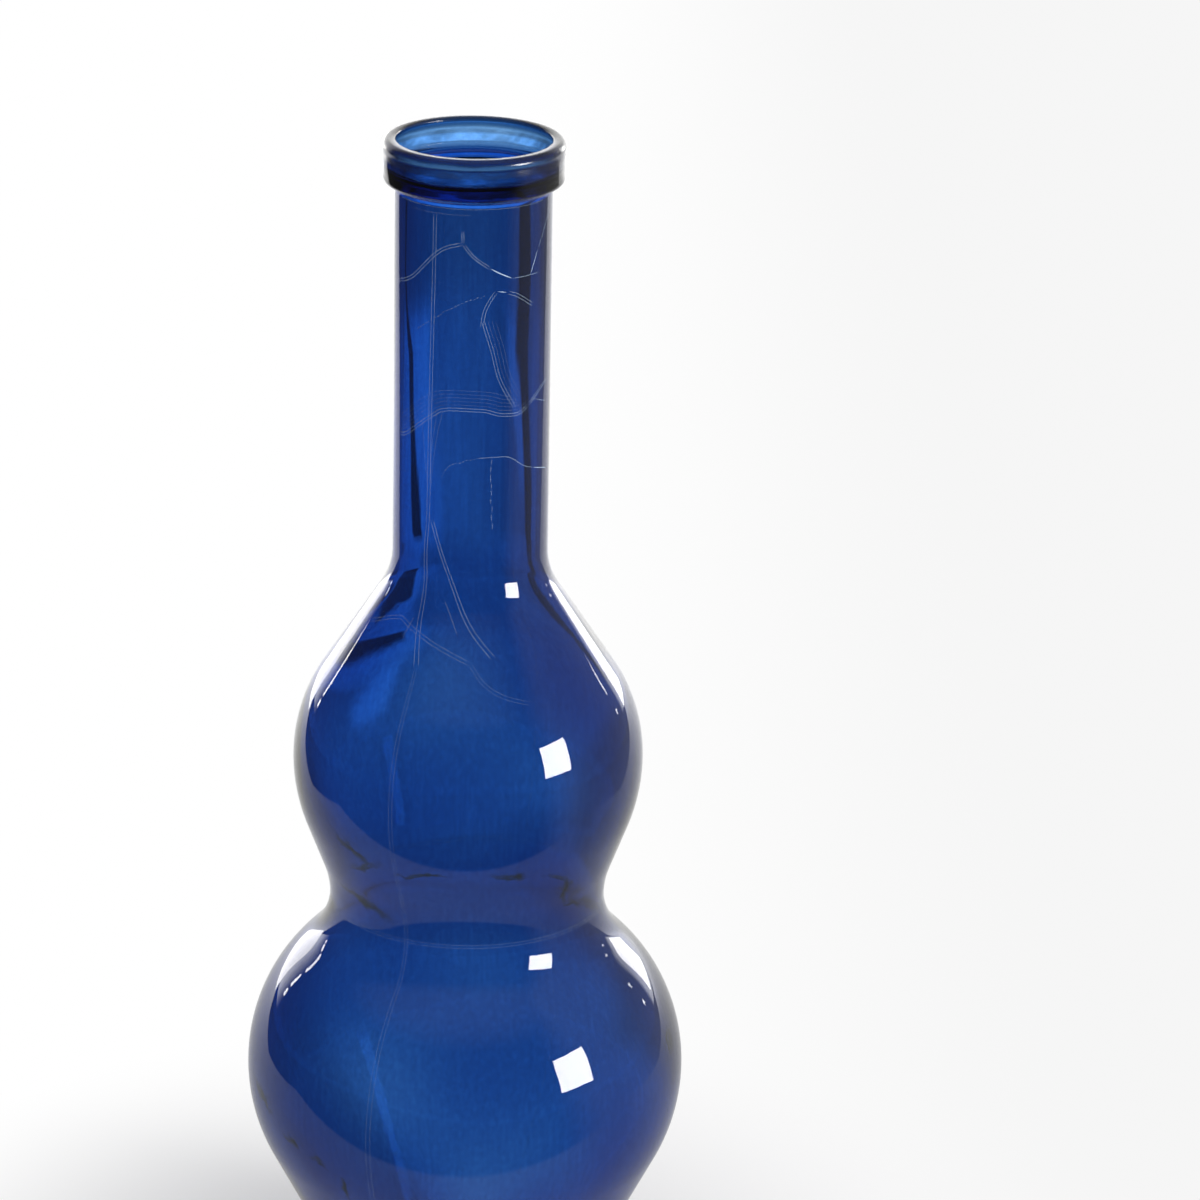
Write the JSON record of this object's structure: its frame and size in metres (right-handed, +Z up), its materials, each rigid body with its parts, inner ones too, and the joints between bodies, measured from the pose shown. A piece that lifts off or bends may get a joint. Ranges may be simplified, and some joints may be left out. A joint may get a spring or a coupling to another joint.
{
  "type": "vase",
  "caption": "Tall bottle vase of clear blue blown glass: two stacked bulbs, a long straight neck and a wide collar round an open mouth.",
  "frame": {"origin": "centre of the resting ring, on the surface that the vase stands on", "axes": "+Z up along the axis of the vase; X and Y are alike, because the vase is round"},
  "size_m": [0.269, 0.269, 0.75],
  "materials": {
    "blue_glass": "clear deep blue blown glass, glossy, with fine lap lines and a mould seam"
  },
  "bodies": {
    "root": {"base": "blue_glass", "heel": "blue_glass", "lower_bulb": "blue_glass", "waist": "blue_glass", "upper_bulb": "blue_glass", "shoulder": "blue_glass", "neck": "blue_glass", "collar": "blue_glass", "lip": "blue_glass"}
  },
  "joints": []
}
